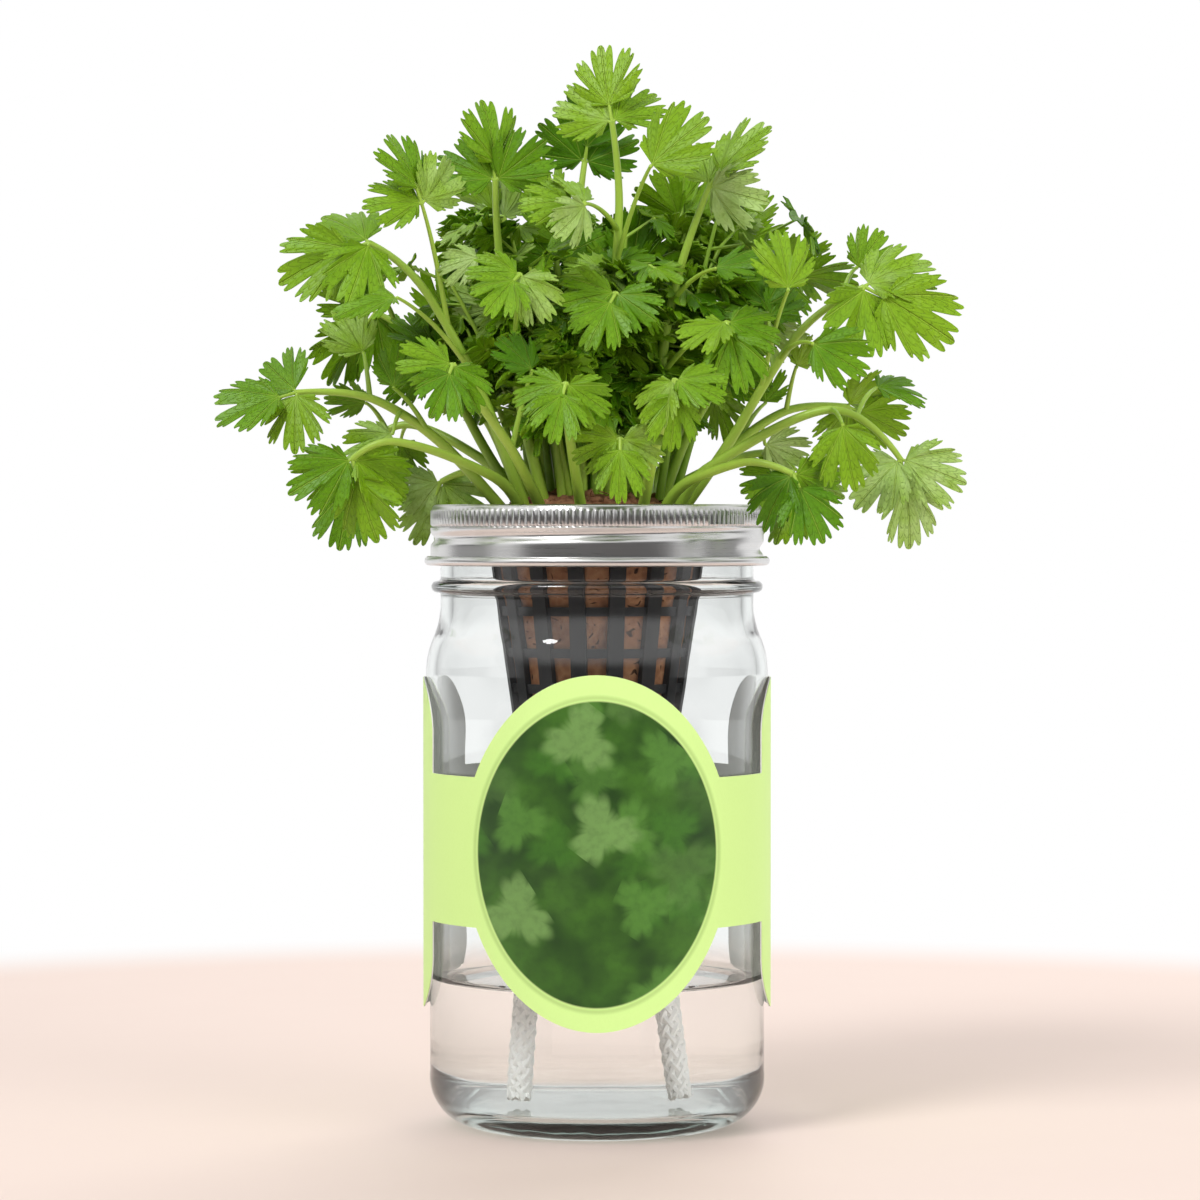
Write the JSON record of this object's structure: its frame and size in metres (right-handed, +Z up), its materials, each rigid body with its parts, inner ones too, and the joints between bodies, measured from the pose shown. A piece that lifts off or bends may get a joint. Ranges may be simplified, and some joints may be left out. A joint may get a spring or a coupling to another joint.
{
  "type": "hydroponic jar planter",
  "caption": "Wide-mouth glass jar of water with a screw band and net cup, cotton wicks down to the water, a card sleeve round the glass and a leafy herb grown from coir.",
  "frame": {"origin": "centre of the jar's foot, on the surface it stands on", "axes": "+Z up the jar's axis, -Y out of the front of the sleeve's oval"},
  "size_m": [0.2003, 0.1321, 0.2911],
  "materials": {
    "glass": "clear",
    "water": "clear",
    "card": "matte",
    "band_metal": "bright tinplate",
    "insert_plastic": "satin",
    "cup_plastic": "satin",
    "coir": "rough fibre",
    "cotton": "braided",
    "foliage": "soft gloss"
  },
  "bodies": {
    "jar": {"glass_jar": "glass", "water_fill": "water"},
    "sleeve": {"label_sleeve": "card"},
    "lid": {"lid_insert": "insert_plastic"},
    "band": {"screw_band": "band_metal"},
    "basket": {"net_cup": "cup_plastic", "coir_plug": "coir", "wick_left": "cotton", "wick_right": "cotton", "stem_tall_centre": "foliage", "stem_left_upright": "foliage", "stem_left_upper": "foliage", "stem_left_arching": "foliage", "stem_left_low": "foliage", "stem_right_upright": "foliage", "stem_right_arching": "foliage", "stem_right_low": "foliage", "stem_right_lowest": "foliage", "stem_front_left": "foliage", "stem_front_centre": "foliage", "stem_front_right": "foliage", "back_stem_tall_centre": "foliage", "back_stem_left_upright": "foliage", "back_stem_left_upper": "foliage", "back_stem_left_arching": "foliage", "back_stem_left_low": "foliage", "back_stem_right_upright": "foliage", "back_stem_right_arching": "foliage", "back_stem_right_low": "foliage", "back_stem_right_lowest": "foliage", "back_stem_front_left": "foliage", "back_stem_front_centre": "foliage", "back_stem_front_right": "foliage", "stem_inner_near": "foliage", "stem_inner_mid": "foliage", "stem_inner_far": "foliage", "back_stem_inner_near": "foliage", "back_stem_inner_mid": "foliage", "back_stem_inner_far": "foliage"}
  },
  "joints": [
    {"name": "sleeve_turn", "type": "hinge", "parent": "jar", "child": "sleeve", "pos_m": [0, 0, 0], "axis": [0, 0, 1], "continuous": true},
    {"name": "lid_rise", "type": "slide", "parent": "jar", "child": "lid", "axis": [0, 0, 1], "range_m": [0, 0.0061]},
    {"name": "band_turn", "type": "hinge", "parent": "lid", "child": "band", "pos_m": [0, 0, 0], "axis": [0, 0, 1], "range_deg": [0, 432]},
    {"name": "basket_lift", "type": "slide", "parent": "lid", "child": "basket", "axis": [0, 0, 1], "range_m": [0, 0.175]}
  ],
  "couplings": [
    {"joint": "lid_rise", "follows": "band_turn", "m_per_rad": 0.00080851}
  ]
}
